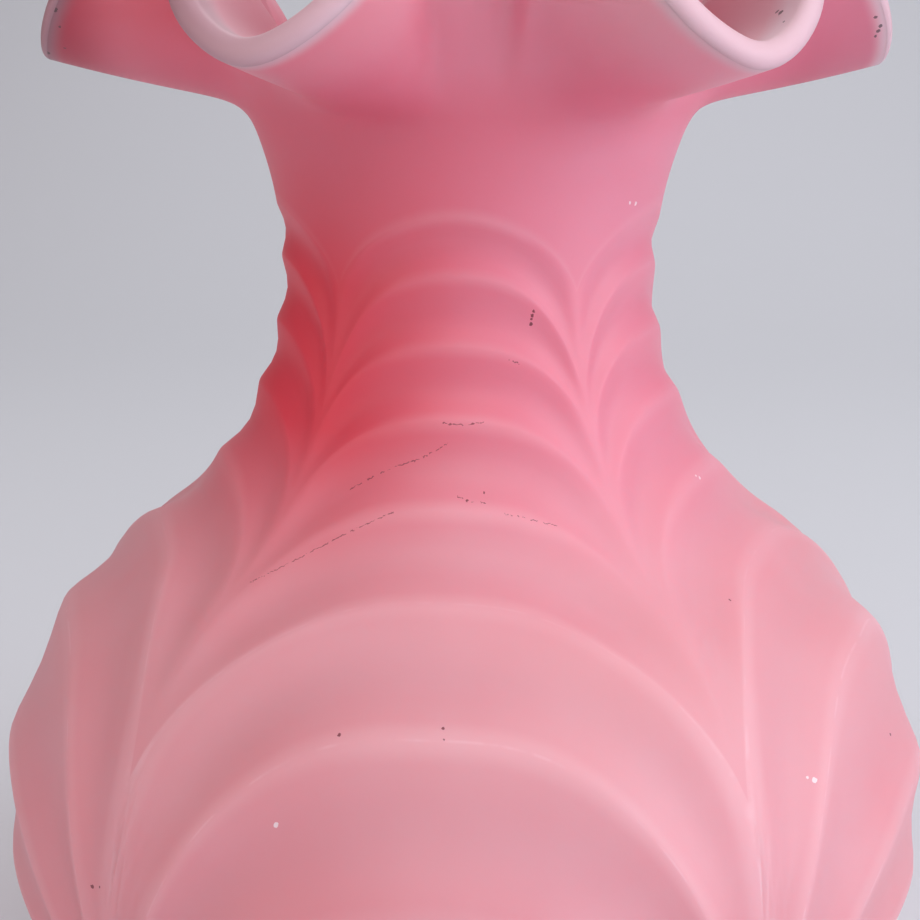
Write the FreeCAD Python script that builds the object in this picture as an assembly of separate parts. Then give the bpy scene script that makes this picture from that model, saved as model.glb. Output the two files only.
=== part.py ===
"""Ruffled vase of cased satin glass: a rose overlay with pressed drapery folds over a white opal lining.

Frame: millimetres, origin at the centre of the foot, +Z up. Azimuth is measured from -Y, which is
the centre line of one drapery panel, towards +X.
"""
import FreeCAD, Part
import math
import os

# ---- Driving dimensions: lengths in mm, angles in degrees ----

# Body of revolution that the fold crests lie on: a belly arc, and a hollow neck arc tangent to it
BELLY_RADIUS = 67.5
BELLY_ARC = 45.0
NECK_RADIUS = 26.2
NECK_ARC = 47.0
COLLAR_RISE = 14.0           # from the narrowest ring of the neck up to where the flare starts

# Foot: a low ring with a ground flat, hollowed underneath
FOOT_HEIGHT = 6.0
FOOT_RADIUS = 35.77          # where the ring meets the belly
FOOT_DRAFT = 0.8             # how far the ring narrows down to the flat
FOOT_EDGE_ROUND = 1.2
FOOT_FLAT_WIDTH = 5.0
FOOT_HOLLOW_DEPTH = 1.6
FOOT_HOLLOW_SLOPE = 2.4

# Glass layers
CASING_WALL = 2.6            # rose overlay, at the fold crests
CASING_LIP_WALL = 0.8        # the overlay thins towards the lip
LINING_WALL = 1.8            # opal lining
LINING_LIP_WALL = 2.4

# Ruffled rim: the flare swings between low dips and steep crests
RUFFLES = 6
RUFFLE_PHASE = 8.4           # azimuth of the first ruffle crest
FLARE_LENGTH = 25.6
DIP_SLOPE = 6.5              # above the horizontal
CREST_SLOPE = 62.0
COLLAR_BEND = 9.5            # height of the tight bend above the collar
DIP_TIP_SLOPE = 14.5
TIP_STRAIGHT = 1.05          # length of the handle that carries the lip's slope down to the bend

# Drapery: five panels, each a nest of arched folds with hollow flutes between sharp crests
PANELS = 5
FIRST_FOLD_BELOW_COLLAR = 6.1
FOLD_SPACINGS = (7.5, 9.0, 8.8, 10.2, 9.2, 11.9, 18.7, 17.0, 15.4)
LEG_DROPS = (10.5, 16.0, 12.6, 13.1, 14.0, 21.3)   # from the crowns of the neck arches to their springings
BELLY_LEG_ENDS = (13.0, 9.0, 5.5, 2.5)   # heights above the foot ring where the belly arches spring
ARCH_POWERS = (1.8, 2.3, 2.4, 2.4, 2.4, 2.5, 2.8, 1.9, 1.9, 2.0)
ARCH_SPREAD = 1.02           # width of a whole arch over the width of its panel
FLUTE_DEPTH_SHARE = 0.1      # of the spacing between crests
FLUTE_DEPTH_MOST = 1.5
RIB_POWER = 10.0             # how late a flute fades into the round rib between two panels

# Stations that the surfaces are fitted through
STATIONS = 10                # round each panel
FLUTE_ROWS = 3
BELLY_ROWS = 6
NECK_ROWS = 3
FLARE_ROWS = 5
QUARTER_HANDLE = 0.4477      # 1 - 0.5523, for a quarter round as one cubic

# ---- Worked out from them ----

BELLY_CENTRE = BELLY_RADIUS - BELLY_ARC
BELLY_HEIGHT = FOOT_HEIGHT + math.sqrt(BELLY_ARC**2 - (FOOT_RADIUS - BELLY_CENTRE) ** 2)
PANEL_HALF = math.pi / PANELS


def vector(azimuth, radius, height):
    """Point at an azimuth in radians, a radius and a height."""
    return FreeCAD.Vector(radius * math.sin(azimuth), -radius * math.cos(azimuth), height)


class Body:
    """Meridian of the belly and neck arcs, inset from the crests by a wall."""

    def __init__(self, inset=0.0):
        self.belly_arc = BELLY_ARC - inset
        self.neck_arc = NECK_ARC + inset
        self.neck_centre = NECK_RADIUS + NECK_ARC
        across = self.neck_centre - BELLY_CENTRE
        self.waist = BELLY_HEIGHT + math.sqrt((BELLY_ARC + NECK_ARC) ** 2 - across**2)
        rise = self.waist - BELLY_HEIGHT
        self.join_angle = math.atan2(rise, across)
        self.join = BELLY_HEIGHT + self.belly_arc * math.sin(self.join_angle)
        self.collar_angle = math.asin(COLLAR_RISE / NECK_ARC)
        self.collar = self.waist + self.neck_arc * math.sin(self.collar_angle)

    def radius(self, height):
        """Radius of the meridian at a height."""
        if height < self.join:
            up = height - BELLY_HEIGHT
            return BELLY_CENTRE + math.sqrt(self.belly_arc**2 - up**2)
        up = height - self.waist
        return self.neck_centre - math.sqrt(self.neck_arc**2 - up**2)

    def slope(self, height):
        """Change of radius with height."""
        if height < self.join:
            up = height - BELLY_HEIGHT
            return -up / math.sqrt(self.belly_arc**2 - up**2)
        up = height - self.waist
        return up / math.sqrt(self.neck_arc**2 - up**2)

    def travel(self, height):
        """Length of the meridian from the widest ring up to a height, negative below it."""
        if height < self.join:
            return self.belly_arc * math.asin((height - BELLY_HEIGHT) / self.belly_arc)
        past = math.asin((height - self.waist) / self.neck_arc) + self.join_angle
        return self.belly_arc * self.join_angle + self.neck_arc * past

    def height(self, travel):
        """Height at a length along the meridian, the inverse of travel."""
        past = travel - self.belly_arc * self.join_angle
        if past < 0.0:
            return BELLY_HEIGHT + self.belly_arc * math.sin(travel / self.belly_arc)
        return self.waist + self.neck_arc * math.sin(past / self.neck_arc - self.join_angle)

    def belly_point(self, angle):
        """Radius and height at an angle above the horizontal, seen from the belly's arc centre."""
        return (BELLY_CENTRE + self.belly_arc * math.cos(angle),
                BELLY_HEIGHT + self.belly_arc * math.sin(angle))

    def neck_point(self, angle):
        """Radius and height at an angle above the waist, seen from the neck's arc centre."""
        return (self.neck_centre - self.neck_arc * math.cos(angle),
                self.waist + self.neck_arc * math.sin(angle))


CRESTS = Body()


# ---- Drapery folds ----

class Fold:
    """One arched crest: its apex on the panel's centre line and its legs at the panel's edges."""

    def __init__(self, apex, end, power):
        self.apex = apex
        self.power = power
        self.drop = (apex - end) / arch_fall(1.0 / ARCH_SPREAD, power)

    def height(self, share):
        """Height of the crest at a share of the way from the centre line to the panel's edge."""
        return self.apex - self.drop * arch_fall(abs(share) / ARCH_SPREAD, self.power)


def arch_fall(share, power):
    """Superelliptic arch: 0 at its crown, 1 at its springing."""
    return 1.0 - (1.0 - min(share, 1.0) ** power) ** (1.0 / power)


class Ring:
    """A level boundary of the drapery, with the interface of a fold."""

    def __init__(self, level):
        self.level = level

    def height(self, share):
        """Height of the ring, the same at every share."""
        return self.level


def drapery_lines():
    """Collar ring, the fold crests from the top down, and the foot ring."""
    lines = [Ring(CRESTS.collar)]
    apex = CRESTS.collar - FIRST_FOLD_BELOW_COLLAR
    for index, power in enumerate(ARCH_POWERS):
        if index:
            apex -= FOLD_SPACINGS[index - 1]
        if index < len(LEG_DROPS):
            lines.append(Fold(apex, apex - LEG_DROPS[index], power))
        else:
            lines.append(Fold(apex, FOOT_HEIGHT + BELLY_LEG_ENDS[index - len(LEG_DROPS)], power))
    lines.append(Ring(FOOT_HEIGHT))
    return lines


def flute_point(azimuth, height, depth):
    """Point of the body's outside, pressed in by a depth along the meridian's normal."""
    slope = CRESTS.slope(height)
    length = math.hypot(1.0, slope)
    return vector(azimuth, CRESTS.radius(height) - depth / length, height + depth * slope / length)


def band_width(upper, lower, share):
    """Width of a band along the meridian, at a share of the way to the panel's edge."""
    return CRESTS.travel(upper.height(share)) - CRESTS.travel(lower.height(share))


def flute_row(panel, upper, lower, across, deepest):
    """Curve along a panel's band, at a share of the way from one drapery line to the other."""
    line = upper if across == 0.0 else lower
    if across in (0.0, 1.0) and isinstance(line, Ring):
        return panel_part(ring(CRESTS.radius(line.level), line.level), panel)
    points = []
    for station in range(STATIONS + 1):
        share = math.sin(math.pi * (station / STATIONS - 0.5))
        top, width = CRESTS.travel(upper.height(share)), band_width(upper, lower, share)
        fade = (1.0 - abs(share) ** RIB_POWER) ** 2
        depth = deepest * min(1.0, width / band_width(upper, lower, 0.0)) * fade
        azimuth = (2.0 * panel + 2.0 + share) * PANEL_HALF
        height = CRESTS.height(top - across * width)
        points.append(flute_point(azimuth, height, depth * 4.0 * across * (1.0 - across)))
    return open_spline(points)


def flute_face(panel, upper, lower):
    """Hollow band of a panel between two drapery lines; the collar's band is smooth."""
    deepest = min(FLUTE_DEPTH_SHARE * band_width(upper, lower, 0.0), FLUTE_DEPTH_MOST)
    if isinstance(upper, Ring):
        deepest = 0.0
    curves = [flute_row(panel, upper, lower, row / FLUTE_ROWS, deepest)
              for row in range(FLUTE_ROWS + 1)]
    return surface_through(curves, closed=False).toShape()


def drapery_faces():
    """Every band of every panel."""
    lines = drapery_lines()
    return [flute_face(panel, upper, lower)
            for panel in range(PANELS) for upper, lower in zip(lines, lines[1:])]


# ---- Ruffled flare ----

def ruffle(azimuth):
    """0 in a dip of the rim, 1 on a crest."""
    return 0.5 + 0.5 * math.cos(RUFFLES * (azimuth - math.radians(RUFFLE_PHASE)))


def flare_point(azimuth, along):
    """Outside of the flare, from the collar at 0 to the lip at 1."""
    radius, height = CRESTS.neck_point(CRESTS.collar_angle)
    lift = math.pi / 2.0 - CRESTS.collar_angle
    bend = COLLAR_BEND / math.sin(lift)
    bend_radius, bend_height = radius + bend * math.cos(lift), height + COLLAR_BEND
    wave = ruffle(azimuth)
    slope = math.radians(DIP_SLOPE + (CREST_SLOPE - DIP_SLOPE) * wave)
    tip_slope = math.radians(DIP_TIP_SLOPE + (CREST_SLOPE - DIP_TIP_SLOPE) * wave)
    tip_radius = bend_radius + FLARE_LENGTH * math.cos(slope)
    tip_height = bend_height + FLARE_LENGTH * math.sin(slope)
    straight = FLARE_LENGTH * TIP_STRAIGHT
    radii = (radius, bend_radius, tip_radius - straight * math.cos(tip_slope), tip_radius)
    heights = (height, bend_height, tip_height - straight * math.sin(tip_slope), tip_height)
    rest = 1.0 - along
    weights = (rest**3, 3.0 * rest**2 * along, 3.0 * rest * along**2, along**3)
    return vector(azimuth, sum(w * r for w, r in zip(weights, radii)),
                  sum(w * h for w, h in zip(weights, heights)))


def inset_point(azimuth, along, inset, lip_inset):
    """Point of the flare, moved into the glass along the surface's normal."""
    step = 1e-4
    here = flare_point(azimuth, along)
    up = flare_point(azimuth, along + step) - flare_point(azimuth, along - step)
    round_way = flare_point(azimuth + step, along) - flare_point(azimuth - step, along)
    normal = round_way.cross(up).normalize()
    eased = along * along * (3.0 - 2.0 * along)
    return here - normal * (inset + (lip_inset - inset) * eased)


def glass_faces(inset, lip_inset):
    """Inner surface of a layer, from the edge of its floor up the belly and neck to the lip."""
    body = Body(inset)
    rings = [body.belly_point(-math.pi / 2.0 + (math.pi / 2.0 + body.join_angle) * row / BELLY_ROWS)
             for row in range(BELLY_ROWS)]
    rings += [body.neck_point(-body.join_angle + (body.join_angle + body.collar_angle) * row / NECK_ROWS)
              for row in range(NECK_ROWS)]
    curves = [ring(*place) for place in rings] + flare_curves(inset, lip_inset)
    return sectors(surface_through(curves, closed=True)) + [disc(*rings[0])]


def flare_curves(inset, lip_inset):
    """Closed curves of one glass surface, from the collar to the lip."""
    curves = []
    for row in range(FLARE_ROWS + 1):
        along = row / FLARE_ROWS
        curves.append(closed_spline([inset_point(azimuth, along, inset, lip_inset)
                                     for azimuth in azimuths()]))
    return curves


def lip_faces(lip_inset, bead):
    """Strip across the lip, inward from the outside: flat, or standing up as a round bead."""
    rows = [[], [], [], []]
    step = 1e-4
    for azimuth in azimuths():
        outer = inset_point(azimuth, 1.0, 0.0, 0.0)
        inner = inset_point(azimuth, 1.0, 0.0, lip_inset)
        out = (flare_point(azimuth, 1.0) - flare_point(azimuth, 1.0 - step)).normalize()
        width = inner - outer
        reach = out * (2.0 / 3.0 * width.Length) if bead else width * 0.0
        third = width * 0.0 if bead else width / 3.0
        for row, pole in zip(rows, (outer, outer + reach + third, inner + reach - third, inner)):
            row.append(pole)
    return sectors(bezier_strip([closed_spline(row) for row in rows]))


# ---- Foot ----

def foot_faces():
    """Foot ring with its rounded edge, the ground flat and the hollow inside it."""
    foot = FOOT_RADIUS - FOOT_DRAFT
    flat = foot - FOOT_EDGE_ROUND
    inner = flat - FOOT_FLAT_WIDTH
    hollow = inner - FOOT_HOLLOW_SLOPE
    corner = FOOT_EDGE_ROUND * QUARTER_HANDLE
    edge = ((foot, FOOT_EDGE_ROUND), (foot, FOOT_EDGE_ROUND - corner), (flat + corner, 0.0), (flat, 0.0))
    rings = (straight((FOOT_RADIUS, FOOT_HEIGHT), edge[0]), edge,
             straight((inner, 0.0), (hollow, FOOT_HOLLOW_DEPTH)))
    faces = []
    for strip in rings:
        faces += sectors(bezier_strip([ring(*place) for place in strip]))
    return faces + [disc(flat, 0.0, inner), disc(hollow, FOOT_HOLLOW_DEPTH)]


def straight(start, end):
    """Four places evenly spaced along a straight meridian line."""
    return [tuple(a + (b - a) * step / 3.0 for a, b in zip(start, end)) for step in range(4)]


# ---- Curves, surfaces and solids ----

def azimuths():
    """Evenly spaced stations right round, starting at a panel's edge."""
    count = PANELS * STATIONS
    return [PANEL_HALF + 2.0 * math.pi * index / count for index in range(count)]


def closed_spline(points):
    """Cubic spline through a closed round of evenly spaced points."""
    curve = Part.BSplineCurve()
    curve.interpolate(Points=points, PeriodicFlag=True,
                      Parameters=[float(index) for index in range(len(points) + 1)])
    return curve


def open_spline(points):
    """Cubic spline through a row of evenly spaced points."""
    curve = Part.BSplineCurve()
    curve.interpolate(Points=points, Parameters=[float(index) for index in range(len(points))])
    return curve


def ring(radius, height):
    """Level round curve about the axis."""
    return closed_spline([vector(azimuth, radius, height) for azimuth in azimuths()])


def net(curves, columns, knots, mults, closed):
    """Bicubic surface from columns of poles, with the knots of its curves one way."""
    surface = Part.BSplineSurface()
    surface.buildFromPolesMultsKnots(columns, curves[0].getMultiplicities(), mults,
                                     curves[0].getKnots(), knots, closed, False, 3, 3)
    return surface


def surface_through(curves, closed):
    """Smooth surface through a stack of curves."""
    splines = [open_spline(list(column)) for column in zip(*(curve.getPoles() for curve in curves))]
    return net(curves, [spline.getPoles() for spline in splines],
               splines[0].getKnots(), splines[0].getMultiplicities(), closed)


def bezier_strip(curves):
    """Strip that starts on the first of four closed curves, ends on the last, and leans to the others."""
    columns = [list(column) for column in zip(*(curve.getPoles() for curve in curves))]
    return net(curves, columns, [0.0, 1.0], [4, 4], closed=True)


def sectors(surface):
    """Faces of a closed surface, cut at the panels' edges."""
    low, high = surface.bounds()[2:]
    faces = []
    for panel in range(PANELS):
        piece = surface.copy()
        piece.segment(float(panel * STATIONS), float((panel + 1) * STATIONS), low, high)
        faces.append(piece.toShape())
    return faces


def panel_part(curve, panel):
    """Stretch of a closed curve that runs along one panel."""
    curve.segment(float(panel * STATIONS), float((panel + 1) * STATIONS))
    return curve


def ring_wire(radius, height):
    """Closed wire round the axis, cut at the panels' edges."""
    return Part.Wire([panel_part(ring(radius, height), panel).toShape() for panel in range(PANELS)])


def disc(radius, height, hole=0.0):
    """Level flat face inside a ring, with a round hole if one is given."""
    wires = [ring_wire(radius, height)]
    if hole:
        wires.append(ring_wire(hole, height))
        wires[1].reverse()
    return Part.Face(wires)


def closed_solid(faces):
    """Solid bounded by faces that share their edges."""
    skin = Part.Compound(faces)
    skin.sewShape()
    solid = Part.Solid(skin.Shells[0])
    if solid.Volume < 0.0:
        solid.reverse()
    return solid


def main():
    """Build the two glass layers and write one STEP file for each."""
    outside = drapery_faces() + sectors(surface_through(flare_curves(0.0, 0.0), closed=True)) + foot_faces()
    between = glass_faces(CASING_WALL, CASING_LIP_WALL)
    inside = glass_faces(CASING_WALL + LINING_WALL, CASING_LIP_WALL + LINING_LIP_WALL)
    casing_edge = lip_faces(CASING_LIP_WALL, bead=False)
    bead = lip_faces(CASING_LIP_WALL + LINING_LIP_WALL, bead=True)
    parts = {
        "rose_casing": closed_solid(outside + casing_edge + between),
        "opal_lining": closed_solid(between + casing_edge + bead + inside),
    }
    os.makedirs("parts", exist_ok=True)
    for name, solid in parts.items():
        solid.exportStep(f"parts/{name}.step")


if __name__ == "__main__":
    main()
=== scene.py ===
"""Ruffled vase of cased satin glass: the looks of its rose casing and its white opal lining.

Lengths are in millimetres in the classes below and turned to metres in the meshes. The origin is the
centre of the foot, +Z is up, and azimuth is measured from -Y, a panel's centre line, towards +X.
"""
import logging
import math
from collections.abc import Callable, Sequence
from dataclasses import dataclass, field
from enum import Enum
from functools import cached_property, partial

import bmesh
import bpy
from mathutils import Matrix, Vector


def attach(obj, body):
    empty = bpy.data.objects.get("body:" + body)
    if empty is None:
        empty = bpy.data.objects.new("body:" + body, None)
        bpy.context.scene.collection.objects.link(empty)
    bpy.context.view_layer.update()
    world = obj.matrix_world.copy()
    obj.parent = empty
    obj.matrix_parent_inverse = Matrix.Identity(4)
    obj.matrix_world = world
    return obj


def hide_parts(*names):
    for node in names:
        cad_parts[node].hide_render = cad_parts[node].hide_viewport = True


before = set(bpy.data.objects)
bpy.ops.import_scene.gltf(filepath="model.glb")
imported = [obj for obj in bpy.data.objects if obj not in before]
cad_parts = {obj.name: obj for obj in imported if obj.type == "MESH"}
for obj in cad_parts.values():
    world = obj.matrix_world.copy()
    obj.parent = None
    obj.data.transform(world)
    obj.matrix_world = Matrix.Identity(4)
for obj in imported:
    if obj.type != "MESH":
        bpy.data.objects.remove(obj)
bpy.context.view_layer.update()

log = logging.getLogger("vase")
MM = 0.001
FAR = 60.0          # stands for any distance from the lip past the flare, mm
PLAIN_PRESS = 0.6   # stands for glass with no fold on it, mm
SCALE_TOP = 200.0   # height at the end of the scales that colours are laid on, mm
NOISE_SPAN = (0.3, 0.7)   # what a noise mostly keeps to
SHARP = math.radians(40.0)
HALF_PI = math.pi / 2.0
WELD = 0.002        # points closer than this are one, mm
STEP = 0.001        # small change of a share or an azimuth, to find a surface's direction
SMOOTH = {"interpolation_type": "SMOOTHSTEP"}
Node = bpy.types.Node
Tree = bpy.types.NodeTree
Socket = bpy.types.NodeSocket
Place = Callable[[float, float], Vector]
Pair = tuple[float, float]
Colour = tuple[float, float, float, float]
Stops = Sequence[tuple[float, Colour]]


def around(azimuth: float, radius: float, height: float) -> Vector:
    """Point at an azimuth in radians, a radius and a height."""
    return Vector((radius * math.sin(azimuth), -radius * math.cos(azimuth), height))


@dataclass(frozen=True)
class Meridian:
    """Profile that the fold crests lie on: a belly arc and a hollow neck arc tangent to it."""

    belly_radius: float = 67.5
    belly_arc: float = 45.0
    neck_radius: float = 26.2
    neck_arc: float = 47.0
    collar_rise: float = 14.0
    foot_height: float = 6.0
    foot_radius: float = 35.77

    @cached_property
    def belly_centre(self) -> float:
        """Radius of the belly arc's centre."""
        return self.belly_radius - self.belly_arc

    @cached_property
    def belly_height(self) -> float:
        """Height of the widest ring, so that the belly meets the foot at the foot's radius."""
        return self.foot_height + math.sqrt(self.belly_arc**2 - (self.foot_radius - self.belly_centre) ** 2)

    @cached_property
    def neck_centre(self) -> float:
        """Radius of the neck arc's centre."""
        return self.neck_radius + self.neck_arc

    @cached_property
    def waist(self) -> float:
        """Height of the narrowest ring of the neck."""
        span = self.belly_arc + self.neck_arc
        return self.belly_height + math.sqrt(span**2 - (self.neck_centre - self.belly_centre) ** 2)

    @cached_property
    def join_angle(self) -> float:
        """Angle above the horizontal, from the belly's centre, at which the arcs meet."""
        return math.atan2(self.waist - self.belly_height, self.neck_centre - self.belly_centre)

    @cached_property
    def join_height(self) -> float:
        """Height at which the arcs meet."""
        return self.belly_height + self.belly_arc * math.sin(self.join_angle)

    @cached_property
    def collar(self) -> float:
        """Height at which the flare starts."""
        return self.waist + self.collar_rise

    @cached_property
    def collar_angle(self) -> float:
        """Angle of the neck arc at the collar."""
        return math.asin(self.collar_rise / self.neck_arc)

    def travel(self, height: float) -> float:
        """Length along the profile from the widest ring up to a height."""
        if height < self.join_height:
            return self.belly_arc * math.asin((height - self.belly_height) / self.belly_arc)
        past = math.asin((height - self.waist) / self.neck_arc) + self.join_angle
        return self.belly_arc * self.join_angle + self.neck_arc * past

    def point(self, travel: float, inset: float = 0.0) -> Pair:
        """Radius and height at a length along the profile, moved in along its normal.

        Args:
            travel: Length from the widest ring, positive upward.
            inset: Distance inward from the crests.

        Returns:
            Radius and height.
        """
        past = travel - self.belly_arc * self.join_angle
        if past < 0.0:
            angle, reach = travel / self.belly_arc, self.belly_arc - inset
            return self.belly_centre + reach * math.cos(angle), self.belly_height + reach * math.sin(angle)
        angle, reach = past / self.neck_arc - self.join_angle, self.neck_arc + inset
        return self.neck_centre - reach * math.cos(angle), self.waist + reach * math.sin(angle)


@dataclass(frozen=True)
class Drapery:
    """Five panels of arched folds: hollow flutes between crests that the acid has softened.

    Attributes:
        first_below_collar: Drop from the collar to the top crest, mm; spacings lead on from there.
        leg_drops: How far each neck crest falls from the panel's centre line to its rib, mm.
        belly_leg_ends: Heights above the foot at which the belly's crests meet the rib, mm.
        arch_powers: How square each arch is, 2 for an ellipse.
        depth_share: Depth of a flute against its width, up to depth_most in mm.
        rib_power: How narrow the ribs are.
        crest_softness: How round a crest is, from 0 for a knife edge.
        melted_from: Share of the half panel past which the crests of the first melted_bands look
            melted, by melting mm; faint does the same evenly for faint_bands.
        plain_after: Height above the top crest at which the collar is quite plain, mm.
    """

    profile: Meridian
    panels: int = 5
    first_below_collar: float = 6.1
    spacings: tuple[float, ...] = (7.5, 9.0, 8.8, 10.2, 9.2, 11.9, 18.7, 17.0, 15.4)
    leg_drops: tuple[float, ...] = (10.5, 16.0, 12.6, 13.1, 14.0, 21.3)
    belly_leg_ends: tuple[float, ...] = (13.0, 9.0, 5.5, 2.5)
    arch_powers: tuple[float, ...] = (1.8, 2.3, 2.4, 2.4, 2.4, 2.5, 2.8, 1.9, 1.9, 2.0)
    arch_spread: float = 1.02
    depth_share: float = 0.1
    depth_most: float = 1.5
    rib_power: float = 10.0
    crest_softness: float = 0.4
    melted_from: float = 0.45
    melting: float = 0.8
    melted_bands: int = 6
    faint: float = 0.12
    faint_bands: int = 4
    plain_after: float = 4.0

    def lines(self, share: float) -> list[float]:
        """Travel of the collar, each crest and the foot ring at a share of the half panel.

        Args:
            share: 0 on the panel's centre line, 1 at its edge.

        Returns:
            Lengths along the profile, from the top down.
        """
        travels = [self.profile.travel(self.profile.collar)]
        apex = self.profile.collar - self.first_below_collar
        foot = self.profile.foot_height
        for index, power in enumerate(self.arch_powers):
            if index:
                apex -= self.spacings[index - 1]
            belly = index - len(self.leg_drops)
            end = apex - self.leg_drops[index] if belly < 0 else foot + self.belly_leg_ends[belly]
            drop = (apex - end) / arch_fall(1.0 / self.arch_spread, power)
            travels.append(self.profile.travel(apex - drop * arch_fall(share / self.arch_spread, power)))
        return travels + [self.profile.travel(foot)]

    def hollow(self, share: float) -> float:
        """Section of a flute across its width: 0 on both crests, 1 in the middle."""
        soft = self.crest_softness
        return (math.hypot(math.sin(math.pi * share), soft) - soft) / (math.hypot(1.0, soft) - soft)

    def fade(self, side: float) -> float:
        """How deep a flute still is beside the round rib at the panel's edge."""
        return (1.0 - side**self.rib_power) ** 2


def arch_fall(share: float, power: float) -> float:
    """Superelliptic arch: 0 at its crown, 1 at its springing."""
    return 1.0 - (1.0 - min(share, 1.0) ** power) ** (1.0 / power)


@dataclass(frozen=True)
class Pleat:
    """Shallow fold that the crimping left in the flare, growing towards the lip.

    Attributes:
        offset: Azimuth from a ruffle's crest, degrees.
        width: Half width, degrees.
        rise: Height outward, mm; below 0 it is a groove.
        start: Share of the flare at which it begins.
    """

    offset: float
    width: float
    rise: float
    start: float


@dataclass(frozen=True)
class Flare:
    """Flared rim whose slope swings between low dips and steep crests.

    Attributes:
        pleats: Small folds of one ruffle.
        pleat_strengths: How strong they are in each ruffle.
        pleat_growth: How soon they reach their full height, and pleat_ease how gently they start.
        phase: Azimuth of the first ruffle's crest, degrees.
        length: Length from the bend to the lip, mm; bend is that bend's height above the collar.
        dip_slope: Rise of a dip, degrees; crest_slope is that of a crest and tip_slope of a dip's lip.
        straight: How far the lip's slope pulls the profile, against its length.
    """

    profile: Meridian
    pleats: tuple[Pleat, ...] = (Pleat(-18.0, 6.5, 1.3, 0.2), Pleat(-10.4, 2.6, -1.2, 0.4),
                                 Pleat(2.0, 2.4, -1.1, 0.4), Pleat(6.2, 2.2, 0.7, 0.4),
                                 Pleat(19.5, 5.0, 1.1, 0.35))
    pleat_strengths: tuple[float, ...] = (1.0, 0.7, 0.85, 0.6, 0.8, 0.75)
    pleat_growth: float = 1.6
    pleat_ease: float = 1.5
    ruffles: int = 6
    phase: float = 8.4
    length: float = 25.6
    dip_slope: float = 6.5
    crest_slope: float = 62.0
    bend: float = 9.5
    tip_slope: float = 14.5
    straight: float = 1.05

    @cached_property
    def ring(self) -> Pair:
        """Radius and height of the collar, where the flare starts."""
        return self.profile.point(self.profile.travel(self.profile.collar))

    def outside(self, azimuth: float, along: float) -> Vector:
        """Outside of the flare, from the collar at 0 to the lip at 1."""
        radius, height = self.ring
        lift = HALF_PI - self.profile.collar_angle
        bend_radius, bend_height = radius + self.bend / math.tan(lift), height + self.bend
        wave = 0.5 + 0.5 * math.cos(self.ruffles * (azimuth - math.radians(self.phase)))
        slope = math.radians(self.dip_slope + (self.crest_slope - self.dip_slope) * wave)
        tip = math.radians(self.tip_slope + (self.crest_slope - self.tip_slope) * wave)
        end_radius = bend_radius + self.length * math.cos(slope)
        end_height = bend_height + self.length * math.sin(slope)
        reach = self.length * self.straight
        radii = (radius, bend_radius, end_radius - reach * math.cos(tip), end_radius)
        heights = (height, bend_height, end_height - reach * math.sin(tip), end_height)
        rest = 1.0 - along
        weights = (rest**3, 3.0 * rest**2 * along, 3.0 * rest * along**2, along**3)
        return around(azimuth, sum(w * r for w, r in zip(weights, radii)),
                      sum(w * h for w, h in zip(weights, heights)))

    def inside(self, azimuth: float, along: float, inset: float, lip_inset: float) -> Vector:
        """Point of the flare moved into the glass along the surface's normal.

        Args:
            azimuth: Azimuth in radians.
            along: 0 at the collar, 1 at the lip.
            inset: Distance inward at the collar.
            lip_inset: Distance inward at the lip.

        Returns:
            The point.
        """
        here = self.outside(azimuth, along)
        up = self.outside(azimuth, along + STEP) - self.outside(azimuth, along - STEP)
        turn = self.outside(azimuth + STEP, along) - self.outside(azimuth - STEP, along)
        eased = along * along * (3.0 - 2.0 * along)
        depth = inset + (lip_inset - inset) * eased - self.pleating(azimuth, along)
        return here - turn.cross(up).normalized() * depth

    def pleating(self, azimuth: float, along: float) -> float:
        """How far the pleats push the flare outward at a point, mm."""
        turn = (math.degrees(azimuth) - self.phase) / 360.0 * self.ruffles
        rise = 0.0
        for near in (math.floor(turn), math.floor(turn) + 1):
            strength = self.pleat_strengths[near % self.ruffles]
            for pleat in self.pleats:
                grown = max(0.0, along - pleat.start) / (1.0 - pleat.start)
                away = ((turn - near) * 360.0 / self.ruffles - pleat.offset) / pleat.width
                full = min(1.0, self.pleat_growth * grown) ** self.pleat_ease
                rise += strength * pleat.rise * math.exp(-away * away) * full
        return rise


@dataclass(frozen=True)
class Foot:
    """Low foot ring with a ground flat, hollowed underneath."""

    draft: float = 0.8
    edge_round: float = 1.2
    flat_width: float = 5.0
    hollow_depth: float = 1.6
    hollow_slope: float = 2.4


@dataclass(frozen=True)
class Walls:
    """Thickness of the two glass layers on the body and at the lip."""

    casing: float = 2.6
    casing_lip: float = 0.8
    lining: float = 1.8
    lining_lip: float = 2.4

    @cached_property
    def total(self) -> float:
        """Both layers on the body."""
        return self.casing + self.lining

    @cached_property
    def lip_total(self) -> float:
        """Both layers at the lip."""
        return self.casing_lip + self.lining_lip


def straight(start: Pair, end: Pair) -> Place:
    """Straight line of a section from one radius and height to another."""
    return lambda azimuth, share: around(azimuth, *(a + (b - a) * share for a, b in zip(start, end)))


@dataclass
class Stretch:
    """Part of a shell's section: rows of points from its start to its end.

    Attributes:
        rows: Number of steps along it.
        place: Point for an azimuth and a share from 0 to 1.
        lip: Distance from the lip at an azimuth and a share, mm, for the finish.
        press: How far the glass is pressed in there, mm, for the finish.
        eased: Whether rows crowd towards both ends.
    """

    rows: int
    place: Place
    lip: Callable[[float, float], float] = lambda azimuth, share: FAR
    press: Callable[[float, float], float] = lambda azimuth, share: PLAIN_PRESS
    eased: bool = False

    def share(self, row: int) -> float:
        """Share of the way along for a row."""
        even = row / self.rows
        return 0.5 - 0.5 * math.cos(math.pi * even) if self.eased else even

    def turned(self) -> "Stretch":
        """The same part, run from its end to its start."""
        place, lip, press = (lambda azimuth, share, part=part: part(azimuth, 1.0 - share)
                             for part in (self.place, self.lip, self.press))
        return Stretch(self.rows, place, lip, press, self.eased)


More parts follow.
